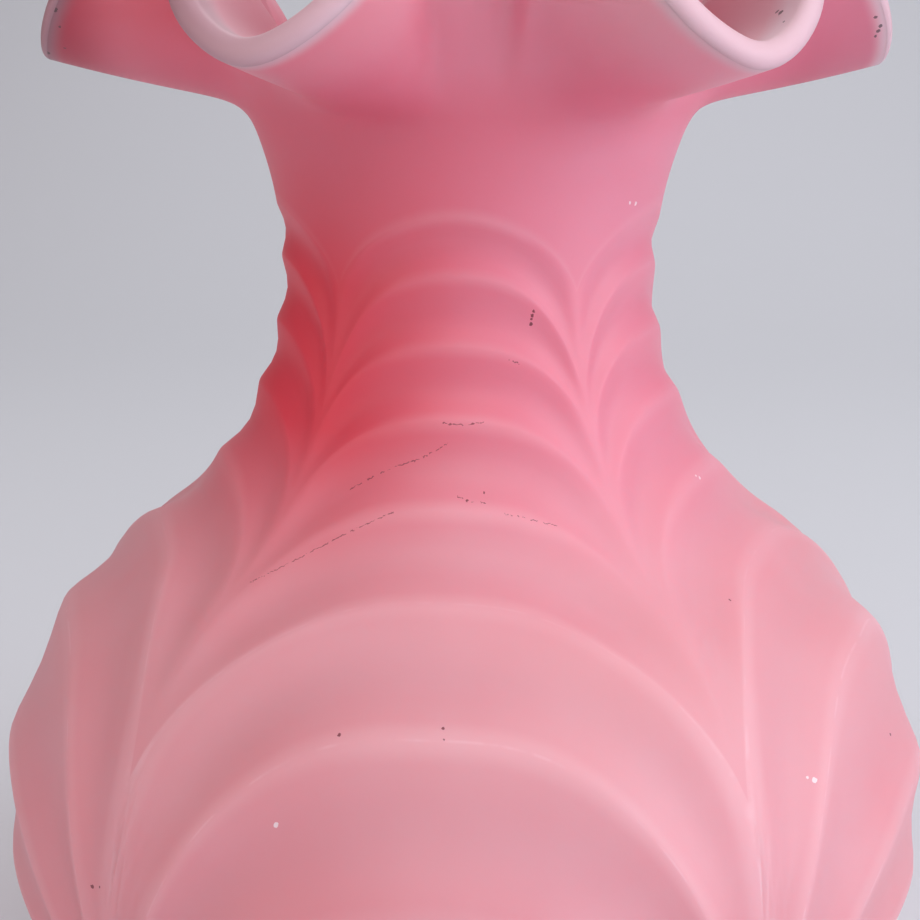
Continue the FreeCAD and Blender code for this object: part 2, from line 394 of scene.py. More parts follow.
@dataclass
class Vase:
    """Both glass layers as closed shells, each one grid wrapped round its section.

    Attributes:
        steps: Steps round the axis.
        band_rows: Rows of faces in a band between two crests; and so on for the flare, the plain
            walls, the floors and the bead.
        bead_reach: How far the lip's bead is drawn out, against its width.
    """

    profile: Meridian = field(default_factory=Meridian)
    walls: Walls = field(default_factory=Walls)
    foot: Foot = field(default_factory=Foot)
    steps: int = 440
    band_rows: int = 8
    flare_rows: int = 30
    wall_rows: int = 34
    floor_rows: int = 5
    bead_rows: int = 12
    bead_reach: float = 0.5

    def __post_init__(self) -> None:
        """Set out the drapery and the flare on the profile."""
        self.drapery = Drapery(self.profile)
        self.flare = Flare(self.profile)
        self.half_panel = math.pi / self.drapery.panels
        self.line_cache: dict[float, list[float]] = {}

    def side(self, azimuth: float) -> float:
        """Share of the half panel: 0 on a panel's centre line, 1 at the rib."""
        offset = (azimuth + self.half_panel) % (2.0 * self.half_panel) - self.half_panel
        return min(abs(offset) / self.half_panel, 1.0)

    def band_place(self, band: int, azimuth: float, share: float) -> Pair:
        """Travel and depth of a point of a hollow band, from its lower line at 0 to its upper line at 1."""
        side = self.side(azimuth)
        for key in (0.0, side):
            if key not in self.line_cache:
                self.line_cache[key] = self.drapery.lines(key)
        lines, middle = self.line_cache[side], self.line_cache[0.0]
        top, bottom = lines[band], lines[band + 1]
        widest = middle[band] - middle[band + 1]
        deepest = min(self.drapery.depth_share * widest, self.drapery.depth_most) if band else 0.0
        depth = deepest * min(1.0, (top - bottom) / widest) * self.drapery.fade(side)
        return bottom + share * (top - bottom), depth * self.drapery.hollow(share)

    def folded(self, azimuth: float, travel: float) -> Pair:
        """Travel and depth of the folded outside at a height on the belly or the neck."""
        for band in range(len(self.drapery.arch_powers) + 1):
            low, high = (self.band_place(band, azimuth, share)[0] for share in (0.0, 1.0))
            if low <= travel < high:
                return self.band_place(band, azimuth, (travel - low) / (high - low))
        return travel, 0.0

    def band_press(self, band: int, azimuth: float, share: float) -> float:
        """Depth of a point of a band for the finish, in which a melted or faint crest counts as pressed."""
        drapery = self.drapery
        travel, depth = self.band_place(band, azimuth, share)
        if not band:
            return min(PLAIN_PRESS, (travel - self.band_place(0, azimuth, 0.0)[0]) / drapery.plain_after)
        if band < drapery.melted_bands:
            depth += drapery.melting * max(0.0, self.side(azimuth) - drapery.melted_from)
        return depth + (drapery.faint if band < drapery.faint_bands else 0.0)

    def drapery_stretches(self) -> list[Stretch]:
        """Bands from the foot ring up to the collar."""
        def place(azimuth: float, share: float, band: int) -> Vector:
            return around(azimuth, *self.profile.point(*self.band_place(band, azimuth, share)))

        return [Stretch(self.band_rows, partial(place, band=band), eased=True,
                        press=partial(self.band_press, band))
                for band in reversed(range(len(self.drapery.arch_powers) + 1))]

    def flare_stretch(self, inset: float, lip_inset: float) -> Stretch:
        """One surface of the flare, from the collar up to the lip."""
        def place(azimuth: float, share: float) -> Vector:
            return self.flare.inside(azimuth, share, inset, lip_inset)

        ends: dict[float, Vector] = {}

        def lip(azimuth: float, share: float) -> float:
            if azimuth not in ends:
                ends[azimuth] = place(azimuth, 1.0)
            return (place(azimuth, share) - ends[azimuth]).length

        return Stretch(self.flare_rows, place, lip)

    def plain_stretches(self, inset: float, lip_inset: float) -> list[Stretch]:
        """Smooth surface inside the folds, from the axis over the floor and the wall up to the lip."""
        low, high = -self.profile.belly_arc * HALF_PI, self.profile.travel(self.profile.collar)
        radius, height = self.profile.point(low, inset)

        def wall(azimuth: float, share: float) -> Vector:
            return around(azimuth, *self.profile.point(low + (high - low) * share, inset))

        return [Stretch(self.floor_rows, straight((0.0, height), (radius, height))),
                Stretch(self.wall_rows, wall), self.flare_stretch(inset, lip_inset)]

    def lip_stretch(self, lip_inset: float, bead: bool) -> Stretch:
        """Strip across the lip from the outside inward, flat or as a round bead."""
        def place(azimuth: float, share: float) -> Vector:
            outer = self.flare.inside(azimuth, 1.0, 0.0, 0.0)
            width = self.flare.inside(azimuth, 1.0, 0.0, lip_inset) - outer
            out = (outer - self.flare.inside(azimuth, 1.0 - STEP, 0.0, 0.0)).normalized()
            if not bead:
                return outer + width * share
            reach = self.bead_reach * width.length
            rest = 1.0 - share
            inward = 3.0 * rest * share**2 + share**3
            return outer + width * inward + out * (3.0 * reach * rest * share)

        return Stretch(self.bead_rows if bead else 2, place, lambda azimuth, share: 0.0)

    def foot_stretches(self) -> list[Stretch]:
        """Underside and foot ring, from the axis out and up to the drapery."""
        foot, top = self.foot, self.profile.foot_radius
        side = top - foot.draft
        flat = side - foot.edge_round
        inner = flat - foot.flat_width
        hollow = inner - foot.hollow_slope

        def edge(azimuth: float, share: float) -> Vector:
            turn = -HALF_PI + HALF_PI * share
            return around(azimuth, flat + foot.edge_round * math.cos(turn),
                          foot.edge_round * (1.0 + math.sin(turn)))

        return [
            Stretch(self.floor_rows, straight((0.0, foot.hollow_depth), (hollow, foot.hollow_depth))),
            Stretch(2, straight((hollow, foot.hollow_depth), (inner, 0.0))),
            Stretch(2, straight((inner, 0.0), (flat, 0.0))),
            Stretch(5, edge),
            Stretch(3, straight((side, foot.edge_round), (top, self.profile.foot_height))),
        ]

    def shell(self, name: str, stretches: Sequence[Stretch]) -> bpy.types.Object:
        """Closed mesh from a grid wrapped round a section that starts and ends on the axis.

        Args:
            name: Name of the object.
            stretches: The section's parts in order.

        Returns:
            The object, whose points store their distance from the lip and how far they are pressed in.
        """
        rows = sum(stretch.rows for stretch in stretches)
        section = [(stretches[0], 0.0)]
        for stretch in stretches:
            section += [(stretch, stretch.share(row + 1)) for row in range(stretch.rows)]
        grid = bmesh.new()
        lip_layer = grid.verts.layers.float.new("lip_distance")
        press_layer = grid.verts.layers.float.new("press")
        bmesh.ops.create_grid(grid, x_segments=self.steps, y_segments=rows, size=0.5)
        for vertex in grid.verts:
            stretch, share = section[round((vertex.co.y + 0.5) * rows)]
            turn = round((vertex.co.x + 0.5) * self.steps) % self.steps
            azimuth = 2.0 * math.pi * turn / self.steps
            vertex.co = stretch.place(azimuth, share) * MM
            vertex[lip_layer] = stretch.lip(azimuth, share)
            vertex[press_layer] = stretch.press(azimuth, share)
        bmesh.ops.remove_doubles(grid, verts=grid.verts, dist=WELD * MM)
        bmesh.ops.recalc_face_normals(grid, faces=grid.faces)
        for edge in grid.edges:
            edge.smooth = edge.calc_face_angle(0.0) < SHARP
        return finished(name, grid)

    def casing(self) -> bpy.types.Object:
        """Rose casing: foot, drapery and flare outside, and the face that it shares with the lining."""
        walls = self.walls
        outside = [*self.foot_stretches(), *self.drapery_stretches(), self.flare_stretch(0.0, 0.0)]
        edge = self.lip_stretch(walls.casing_lip, bead=False)
        inside = self.plain_stretches(walls.casing, walls.casing_lip)
        return self.shell("rose_casing_glass", [*outside, edge, *turned(inside)])

    def lining(self) -> bpy.types.Object:
        """Opal lining: the face that it shares with the casing, the lip and the inside."""
        walls = self.walls
        outside = self.plain_stretches(walls.casing, walls.casing_lip)
        edge = self.lip_stretch(walls.casing_lip, bead=False).turned()
        bead = self.lip_stretch(walls.lip_total, bead=True)
        inside = self.plain_stretches(walls.total, walls.lip_total)
        return self.shell("opal_lining_glass", [*outside, edge, bead, *turned(inside)])


def turned(stretches: Sequence[Stretch]) -> list[Stretch]:
    """A whole section, run from its end to its start."""
    return [stretch.turned() for stretch in reversed(stretches)]


def link(name: str, data: bpy.types.ID) -> bpy.types.Object:
    """New object in the scene that shows some data."""
    shown = bpy.data.objects.new(name, data)
    bpy.context.scene.collection.objects.link(shown)
    return shown


def finished(name: str, grid: bmesh.types.BMesh) -> bpy.types.Object:
    """Smoothly shaded object from a grid that is done with."""
    for face in grid.faces:
        face.smooth = True
    mesh = bpy.data.meshes.new(name)
    grid.to_mesh(mesh)
    grid.free()
    return link(name, mesh)


def emptied(owner: bpy.types.Material | bpy.types.World) -> Tree:
    """Node tree of a material or a world, with nothing in it."""
    owner.use_nodes = True
    owner.node_tree.nodes.clear()
    return owner.node_tree


def linear(code: str) -> Colour:
    """Linear colour of an sRGB hex value."""
    parts = [int(code[place:place + 2], 16) / 255.0 for place in (1, 3, 5)]
    red, green, blue = (c / 12.92 if c <= 0.04045 else ((c + 0.055) / 1.055) ** 2.4 for c in parts)
    return red, green, blue, 1.0


def add(tree: Tree, kind: str, settings: dict[str, object] | str = "", stops: Stops = (),
        **inputs: object) -> Node:
    """Add a node, set its properties and its sockets, or link them.

    Args:
        tree: Node tree that it goes in.
        kind: Node type, without the ShaderNode in front.
        settings: Its operation, or its properties by name.
        stops: Places and colours of a colour ramp.
        **inputs: Socket values or links, with underscores for spaces, or _ and an index; From and
            To are the two ends of a range.

    Returns:
        The node.
    """
    node = tree.nodes.new("ShaderNode" + kind)
    if isinstance(settings, str):
        settings = {"operation": settings} if settings else {}
    for index, (place, colour) in enumerate(stops):
        elements = node.color_ramp.elements
        element = elements[index] if index < len(elements) else elements.new(place)
        element.position, element.color = place, colour
    for name, value in settings.items():
        setattr(node, name, value)
    for name in ("From", "To"):
        if name in inputs:
            inputs[name + "_Min"], inputs[name + "_Max"] = inputs.pop(name)
    for name, value in inputs.items():
        socket = node.inputs[int(name[1:])] if name[0] == "_" else node.inputs[name.replace("_", " ")]
        if isinstance(value, Node):
            value = next(output for output in value.outputs if output.enabled)
        if isinstance(value, Socket):
            tree.links.new(value, socket)
        else:
            socket.default_value = value
    return node


def blend(tree: Tree, share: Node | float, under: Node | str, over: Node | str, how: str = "MIX") -> Node:
    """Lay one colour over another by a share; each is a node or a hex value."""
    under, over = (linear(part) if isinstance(part, str) else part for part in (under, over))
    return add(tree, "Mix", {"data_type": "RGBA", "blend_type": how}, _0=share, _6=under, _7=over)


class Mark(Enum):
    """Kinds of small mark in the etched skin, by colour."""

    RUBBED = "#6A1A2C"      # worn through the skin, holding dirt
    GRIT = "#5E4A50"        # dark grit and bruises at the lip
    CHIPPED = "#FBE4EA"     # fresh nick, white opal under the rose


@dataclass(frozen=True)
class Scuff:
    """Broken line of wear along a fold.

    Attributes:
        start: Azimuth in degrees and height in mm of one end.
        end: The same for the other end, at the larger azimuth.
        bow: How far its middle stands above a straight line, mm.
        width: Width of the line, mm.
        gaps: Level of noise below which the skin is whole.
    """

    start: Pair
    end: Pair
    bow: float
    width: float
    gaps: float


@dataclass(frozen=True)
class Speck:
    """Small spot on the outside of the casing or, above the collar, on its flare.

    Attributes:
        azimuth: Azimuth, degrees.
        height: Height, mm, or the share of the flare's length if it is on_flare.
        size: Diameter, mm.
        mark: Its kind.
    """

    azimuth: float
    height: float
    size: float
    mark: Mark
    on_flare: bool

    def place(self, vase: Vase, inset: float = 0.0) -> Vector:
        """Centre of the spot, mm, on the casing's outside or inset from it on the flare."""
        turn = math.radians(self.azimuth)
        if self.on_flare:
            return vase.flare.inside(turn, self.height, inset, inset)
        return around(turn, *vase.profile.point(*vase.folded(turn, vase.profile.travel(self.height))))


def alike(mark: Mark, on_flare: bool, *spots: tuple[float, float, float]) -> tuple[Speck, ...]:
    """Specks of one kind from the azimuth, height and size of each."""
    return tuple(Speck(*spot, mark, on_flare) for spot in spots)


@dataclass(frozen=True)
class SatinGlass:
    """Glass dipped in acid: fine pits scatter every highlight into a soft haze.

    Attributes:
        scatter: How far light travels in the glass, mm.
        spread: Share of that for red, green and blue light.
        grit: Spacing of the pits, mm; real ones are ten times finer, too fine to show.
        grit_depth: Their depth, mm.
        mottle: Size of faint patches, mm.
        cloud: How far the colour varies by them, and uneven_etch the roughness.
        stain: How strongly a mark colours the skin.
        shake: How fine the noise is that makes marks ragged, per mm; spot_shake is its reach, mm.
    """

    name: str
    roughness: float = 0.46
    ior: float = 1.5
    subsurface: float = 0.35
    scatter: float = 5.0
    spread: tuple[float, float, float] = (1.0, 0.35, 0.4)
    grit: float = 0.5
    grit_depth: float = 0.004
    mottle: float = 26.0
    cloud: float = 0.05
    uneven_etch: float = 0.05
    stain: float = 0.85
    shake: float = 2.6
    spot_shake: float = 0.5
    specks: tuple[Speck, ...] = ()

    def shell(self) -> tuple[bpy.types.Material, Tree, Node, Node]:
        """Material with its shader and its etched skin, and the place in mm that patterns read."""
        material = bpy.data.materials.new(self.name)
        tree = emptied(material)
        shader = add(tree, "BsdfPrincipled", IOR=self.ior, Subsurface_Weight=self.subsurface,
                     Subsurface_Radius=self.spread, Subsurface_Scale=self.scatter * MM)
        add(tree, "OutputMaterial", Surface=shader)
        where = add(tree, "TexCoord").outputs["Object"]
        place = add(tree, "VectorMath", "SCALE", Vector=where, Scale=1.0 / MM)
        grit = add(tree, "TexNoise", Vector=place, Scale=1.0 / self.grit, Detail=1.0)
        skin = add(tree, "Bump", Strength=1.0, Distance=self.grit_depth * MM, Height=grit)
        etch = add(tree, "TexNoise", Vector=place, Scale=1.0 / self.mottle, Detail=3.0)
        gloss = add(tree, "MapRange", Value=etch, From=NOISE_SPAN,
                    To=(self.roughness - self.uneven_etch, self.roughness + self.uneven_etch))
        tree.links.new(skin.outputs[0], shader.inputs["Normal"])
        tree.links.new(gloss.outputs[0], shader.inputs["Roughness"])
        return material, tree, shader, place

    def mottled(self, tree: Tree, place: Node, colour: Node) -> Node:
        """Colour with faint cloudy patches, where the glass was gathered unevenly."""
        patches = add(tree, "TexNoise", Vector=place, Scale=1.0 / self.mottle, Detail=2.0,
                      Roughness=0.6, Distortion=0.4)
        tone = add(tree, "MapRange", Value=patches, From=NOISE_SPAN, To=(1.0 - self.cloud, 1.0 + self.cloud))
        tint = add(tree, "CombineColor", Red=1.0, Green=tone, Blue=tone)
        return blend(tree, 1.0, colour, tint, "MULTIPLY")

    def specked(self, tree: Tree, place: Node, colour: Node, vase: Vase, inset: float = 0.0) -> Node:
        """Colour with small ragged spots, on the flare at an inset from its outside, mm."""
        ragged = self.ragged(tree, place, self.spot_shake)
        for mark in Mark:
            shown: Node | float = 0.0
            for speck in self.specks:
                if speck.mark is mark:
                    away = add(tree, "VectorMath", "DISTANCE", _0=ragged,
                               _1=tuple(speck.place(vase, inset))).outputs["Value"]
                    spot = add(tree, "Math", "LESS_THAN", _0=away, _1=speck.size / 2.0)
                    shown = add(tree, "Math", "MAXIMUM", _0=shown, _1=spot)
            if isinstance(shown, Node):
                shown = add(tree, "Math", "MULTIPLY", _0=shown, _1=self.stain)
                colour = blend(tree, shown, colour, mark.value)
        return colour

    def ragged(self, tree: Tree, place: Node, reach: float) -> Node:
        """Place shaken by fine noise, so that the edges of marks are ragged."""
        shake = add(tree, "TexNoise", Vector=place, Scale=self.shake, Detail=2.0)
        centred = add(tree, "VectorMath", "SUBTRACT", _0=shake.outputs["Color"], _1=(0.5, 0.5, 0.5))
        return add(tree, "VectorMath", "MULTIPLY_ADD", _0=centred, _1=(reach, reach, reach), _2=place)


@dataclass(frozen=True)
class SideLight:
    """Part of the overlay painted another colour by X: deeper as painted shade away from the lamps, paler as
    painted sheen towards them.

    Attributes:
        edges: X between which it sets in, mm.
        tone: The other colour.
        levels: Heights in mm and how far it goes there.
    """

    edges: Pair
    tone: str
    levels: tuple[Pair, ...]


@dataclass(frozen=True)
class RoseOverlay(SatinGlass):
    """Acid-etched rose overlay, blown over white opal.

    It was stretched as the vase was blown, so it is deep rose round the neck and pale on the belly; it is
    thinner again on the crests of the folds, which are painted paler still as highlight while the flutes are
    painted deeper as shade, and it runs out at the lip, where the white shows through.

    Attributes:
        tones: Heights in mm and the colours there of an even overlay; those at 152 and 162 mm, on the flare,
            are brightened as painted light shining through the flare.
        painted_side_light: Painted shade on the -X neck, belly and far flare, which face away from the
            lamps, and painted sheen on the +X neck, which faces the window lamp.
        outer_lobe_shade: Painted shade on the two outer lobes, whose undersides face away from the lamps,
            past outer_from mm from the X of outer_middle and above outer_above, in shares of SCALE_TOP.
        pale_crest_and_highlight: Colour where the overlay is thinnest, also laid on as painted highlight on
            the crests and near the lip; deep_flute_and_shade where it fills a flute, partly painted shade.
        lip: Colour at the lip, and lip_shaded_side, painted shade on the lips away from the lamps, past the
            X of lip_sides, mm.
        paling_and_highlight: Distances from the lip between which the flare turns paler, by
            paling_and_highlight_most, partly as the overlay thinning out and partly as painted highlight,
            and bare between which the white shows, mm.
        crests: Depths between which a crest sets in, mm, and so on for flutes and for the lines of painted
            highlight along the crests, which fade out between line_heights, mm, and break off each
            line_breaks mm, where the noise is below line_gaps.
        scuff_shake: Reach of the noise that makes scuffs ragged, mm; scuff_breaks is the spacing of
            their gaps, mm, and scuff_most how dark they are.
    """

    name: str = "rose_overlay_acid_etched"
    tones: tuple[tuple[float, str], ...] = (
        (20.0, "#E0969F"), (50.0, "#E398A3"), (62.0, "#E59BA7"), (78.0, "#E5A0AB"), (90.0, "#E59CA8"),
        (100.0, "#E58999"), (110.0, "#E57589"), (122.0, "#E5778C"), (134.0, "#E57A8F"), (146.0, "#E4758B"),
        # painted light: the flare's colours brightened for light shining through it
        (152.0, "#EF8BA1"), (162.0, "#FA95A9"))
    painted_side_light: tuple[SideLight, ...] = (
        # painted shade: deeper rose on the -X side, away from the lamps
        SideLight((5.0, -19.0), "#E3374B", (
            (40.0, 0.08), (72.0, 0.04), (86.0, 0.0), (99.0, 0.4), (106.0, 0.85), (124.0, 0.88),
            (132.0, 0.5), (141.0, 0.15), (149.0, 0.15), (158.0, 0.6))),
        # painted sheen: paler on the +X side, towards the window lamp
        SideLight((-4.0, 22.0), "#E896AD", ((84.0, 0.0), (104.0, 0.5), (141.0, 0.65), (149.0, 0.0))),
        # painted shade: deeper on the flare far to -X
        SideLight((-44.0, -53.0), "#B83048", ((141.0, 0.0), (149.0, 0.5))),
    )
    outer_middle: float = -3.0
    outer_from: Pair = (39.0, 50.0)
    outer_above: Pair = (0.69, 0.73)
    lip_sides: Pair = (-14.0, -34.0)
    paling_and_highlight: Pair = (17.0, 2.0)
    bare: Pair = (2.8, -0.6)
    paling_and_highlight_most: float = 0.3
    crests: Pair = (0.45, 0.0)
    crest_most: float = 0.19
    flutes: Pair = (0.5, 1.3)
    flute_most: float = 0.05
    lines: Pair = (0.014, 0.002)
    line_most: float = 0.3
    line_breaks: float = 5.0
    line_gaps: Pair = (0.46, 0.58)
    line_heights: Pair = (96.0, 80.0)
    pale_crest_and_highlight: str = "#F4C6D0"
    deep_flute_and_shade: str = "#E58999"
    outer_lobe_shade: str = "#E5C2CF"
    lip: str = "#EBC4CE"
    lip_shaded_side: str = "#A87A86"
    scuff_shake: float = 0.55
    scuff_breaks: float = 0.625
    scuff_most: float = 0.8
    scuff_marks: tuple[Scuff, ...] = (
        Scuff((-2.2, 108.1), (7.9, 108.3), -0.3, 0.12, 0.45),
        Scuff((-22.8, 99.3), (-12.5, 102.5), 0.2, 0.12, 0.48),
        Scuff((-12.5, 102.5), (-0.9, 105.5), -0.3, 0.13, 0.47),
        Scuff((-33.8, 88.5), (-10.7, 97.8), 0.7, 0.1, 0.45),
        Scuff((11.6, 97.8), (22.6, 96.1), 0.1, 0.1, 0.49),
        Scuff((2.0, 99.6), (8.0, 99.0), -0.2, 0.12, 0.5),
        Scuff((14.8, 115.8), (17.9, 115.2), 0.0, 0.1, 0.5),
    )
    specks: tuple[Speck, ...] = (
        *alike(Mark.RUBBED, False, (22.5, 121.7, 0.4), (22.2, 121.2, 0.45), (21.95, 120.7, 0.4),
               (21.9, 120.1, 0.45), (-10.7, 77.0, 0.45), (1.4, 78.3, 0.45), (1.6, 77.2, 0.3),
               (-39.3, 53.4, 0.55), (-37.9, 54.0, 0.4), (49.4, 86.4, 0.35), (69.0, 65.5, 0.45),
               (7.7, 100.3, 0.35), (4.0, 99.3, 0.3), (-150.0, 82.0, 0.5), (128.0, 60.0, 0.6),
               (172.0, 97.0, 0.4)),
        *alike(Mark.CHIPPED, False, (-16.4, 67.3, 0.6), (46.9, 67.5, 0.8), (46.2, 68.1, 0.4),
               (54.3, 134.8, 0.45), (57.4, 134.6, 0.45), (67.2, 97.7, 0.5), (66.0, 98.1, 0.35)),
        *alike(Mark.GRIT, True, (-70.8, 1.0, 0.8), (-72.4, 0.985, 0.35), (-77.6, 1.0, 0.9),
               (-75.2, 0.97, 0.4), (87.2, 0.985, 0.5), (88.4, 0.99, 0.6), (88.9, 0.985, 0.6),
               (89.4, 0.98, 0.4), (150.0, 0.99, 0.6), (-140.0, 0.99, 0.5)),
    )

    def material(self, vase: Vase) -> bpy.types.Material:
        """Build the material for the vase's casing."""
        material, tree, shader, place = self.shell()
        axes = add(tree, "SeparateXYZ", _0=place)
        side, height = axes.outputs["X"], axes.outputs["Z"]
        share = add(tree, "Math", "DIVIDE", _0=height, _1=SCALE_TOP)
        colour = add(tree, "ValToRGB", _0=share,
                     stops=[(level / SCALE_TOP, linear(tone)) for level, tone in self.tones])
        lip = add(tree, "Attribute", {"attribute_name": "lip_distance"}).outputs["Fac"]
        # paler towards the lip: partly the overlay running out, partly painted highlight
        paling_and_highlight = add(tree, "MapRange", SMOOTH, Value=lip, From=self.paling_and_highlight, To=(0.0, self.paling_and_highlight_most))
        colour = blend(tree, paling_and_highlight, colour, self.pale_crest_and_highlight)
        colour = self.pressed(tree, place, height, colour)
        colour = self.paint_side_light(tree, side, share, colour)
        colour = self.mottled(tree, place, colour)
        bare = add(tree, "MapRange", {"interpolation_type": "SMOOTHERSTEP"}, Value=lip, From=self.bare)
        # painted shade: the bare lip darker towards -X
        across = add(tree, "MapRange", SMOOTH, Value=side, From=self.lip_sides)
        colour = blend(tree, bare, colour, blend(tree, across, self.lip, self.lip_shaded_side))
        colour = self.scuffed(tree, place, colour)
        colour = self.specked(tree, place, colour, vase)
        tree.links.new(colour.outputs[2], shader.inputs["Base Color"])
        return material

    def paint_side_light(self, tree: Tree, side: Socket, height: Node, colour: Node) -> Node:
        """Colour with painted shade and painted sheen laid on by X, at a height in shares of SCALE_TOP, and
        painted shade on the two outer lobes.
        """
        # painted shade and painted sheen by X
        for change in self.painted_side_light:
            part = add(tree, "MapRange", SMOOTH, Value=side, From=change.edges)
            level = add(tree, "ValToRGB", _0=height, stops=[
                (place / SCALE_TOP, (share, share, share, 1.0)) for place, share in change.levels])
            part = add(tree, "Math", "MULTIPLY", _0=part, _1=level)
            colour = blend(tree, part, colour, change.tone)
        # painted shade: the two outer lobes darkened
        reach = add(tree, "Math", "SUBTRACT", _0=side, _1=self.outer_middle)
        reach = add(tree, "Math", "ABSOLUTE", _0=reach)
        outer = add(tree, "MapRange", SMOOTH, Value=reach, From=self.outer_from)
        above = add(tree, "MapRange", Value=height, From=self.outer_above)
        outer = add(tree, "Math", "MULTIPLY", _0=outer, _1=above)
        return blend(tree, outer, colour, self.outer_lobe_shade, "MULTIPLY")

    def pressed(self, tree: Tree, place: Node, height: Socket, colour: Node) -> Node:
        """Paler crests, partly as painted highlight, deeper flutes, partly as painted shade, and a broken
        line of painted highlight along the belly's crests.
        """
        press = add(tree, "Attribute", {"attribute_name": "press"}).outputs["Fac"]
        # crests paler, partly a thinner overlay and partly painted highlight; flutes deeper, partly painted
        # shade
        crest = add(tree, "MapRange", SMOOTH, Value=press, From=self.crests, To=(0.0, self.crest_most))
        flute = add(tree, "MapRange", SMOOTH, Value=press, From=self.flutes, To=(0.0, self.flute_most))
        colour = blend(tree, crest, colour, self.pale_crest_and_highlight)
        colour = blend(tree, flute, colour, self.deep_flute_and_shade)
        # painted highlight: a broken pale line along the belly's crests
        line = add(tree, "MapRange", Value=press, From=self.lines, To=(0.0, self.line_most))
        broken = add(tree, "TexNoise", Vector=place, Scale=1.0 / self.line_breaks, Detail=3.0)
        broken = add(tree, "MapRange", Value=broken, From=self.line_gaps)
        belly = add(tree, "MapRange", Value=height, From=self.line_heights)
        for part in (broken, belly):
            line = add(tree, "Math", "MULTIPLY", _0=line, _1=part)
        return blend(tree, line, colour, self.pale_crest_and_highlight)

    def scuffed(self, tree: Tree, place: Node, colour: Node) -> Node:
        """Broken dark lines where the skin is rubbed through along the folds."""
        axes = add(tree, "SeparateXYZ", _0=self.ragged(tree, place, self.scuff_shake))
        front = add(tree, "Math", "MULTIPLY", _0=axes.outputs["Y"], _1=-1.0)
        azimuth = add(tree, "Math", "ARCTAN2", _0=axes.outputs["X"], _1=front)
        noise = add(tree, "TexNoise", Vector=place, Scale=1.0 / self.scuff_breaks, Detail=3.0)
        shown: Node | float = 0.0
        for scuff in self.scuff_marks:
            start, end = math.radians(scuff.start[0]), math.radians(scuff.end[0])
            line = add(tree, "MapRange", {"clamp": False}, Value=azimuth, From=(start, end),
                       To=(scuff.start[1], scuff.end[1]))
            turn = add(tree, "MapRange", Value=azimuth, From=(start, end), To=(0.0, math.pi))
            bow = add(tree, "Math", "SINE", _0=turn)
            line = add(tree, "Math", "MULTIPLY_ADD", _0=bow, _1=scuff.bow, _2=line)
            near = add(tree, "Math", "COMPARE", _0=axes.outputs["Z"], _1=line, _2=scuff.width / 2.0)
            within = add(tree, "Math", "COMPARE", _0=azimuth, _1=(start + end) / 2.0, _2=(end - start) / 2.0)
            worn = add(tree, "Math", "GREATER_THAN", _0=noise, _1=scuff.gaps)
            for part in (within, worn):
                near = add(tree, "Math", "MULTIPLY", _0=near, _1=part)
            shown = add(tree, "Math", "MAXIMUM", _0=shown, _1=near)
        shown = add(tree, "Math", "MULTIPLY", _0=shown, _1=self.scuff_most)
        return blend(tree, shown, colour, Mark.RUBBED.value)


@dataclass(frozen=True)
class OpalLayer(SatinGlass):
    """Acid-etched white opal: milky at the lip, flushed pink inside by the rose behind it and deepened
    further in as painted shade.

    Attributes:
        white: Colour of the lip, as far in as lip_end; near_lip and flush_and_inner_shade follow further in,
            deepening partly as painted shade.
        lip_end: Distance from the lip in mm, and so on for near_lip_at and flush_and_inner_shade_at.
        opal_shaded_side: Painted shade that the lip tends to on the -X side, away from the lamps, to
            opal_shade_most.
        opal_shaded_sides: Between which X it does, mm, and opal_shade_reach between which distances from the
            lip.
    """

    name: str = "white_opal_acid_etched"
    scatter: float = 2.0
    cloud: float = 0.03
    spread: tuple[float, float, float] = (1.0, 0.85, 0.85)
    white: str = "#DFBAC6"
    near_lip: str = "#DDA0AE"
    flush_and_inner_shade: str = "#CC7284"
    opal_shaded_side: str = "#966672"
    lip_end: float = 1.8
    near_lip_at: float = 5.0
    flush_and_inner_shade_at: float = 20.0
    opal_shaded_sides: Pair = (-8.0, -34.0)
    opal_shade_most: float = 0.7
    opal_shade_reach: Pair = (5.0, 0.5)
    specks: tuple[Speck, ...] = alike(Mark.GRIT, True, (48.4, 0.965, 0.7), (48.9, 0.955, 0.5),
                                      (46.3, 0.985, 0.4), (-64.0, 0.98, 0.6))

    def material(self, vase: Vase) -> bpy.types.Material:
        """Build the material for the vase's lining."""
        material, tree, shader, place = self.shell()
        lip = add(tree, "Attribute", {"attribute_name": "lip_distance"}).outputs["Fac"]
        share = add(tree, "Math", "DIVIDE", _0=lip, _1=FAR)
        # deeper inward: partly the rose showing through, partly painted shade inside the flare
        tones = ((0.0, self.white), (self.lip_end, self.white), (self.near_lip_at, self.near_lip),
                 (self.flush_and_inner_shade_at, self.flush_and_inner_shade))
        colour = add(tree, "ValToRGB", _0=share, stops=[(away / FAR, linear(tone)) for away, tone in tones])
        side = add(tree, "SeparateXYZ", _0=place).outputs["X"]
        # painted shade: the opal lip darker towards -X, away from the lamps
        lip_shade = add(tree, "MapRange", SMOOTH, Value=side, From=self.opal_shaded_sides, To=(0.0, self.opal_shade_most))
        edge = add(tree, "MapRange", SMOOTH, Value=lip, From=self.opal_shade_reach)
        lip_shade = add(tree, "Math", "MULTIPLY", _0=lip_shade, _1=edge)
        colour = blend(tree, lip_shade, colour, self.opal_shaded_side)
        colour = self.mottled(tree, place, colour)
        colour = self.specked(tree, place, colour, vase, vase.walls.lip_total)
        tree.links.new(colour.outputs[2], shader.inputs["Base Color"])
        return material


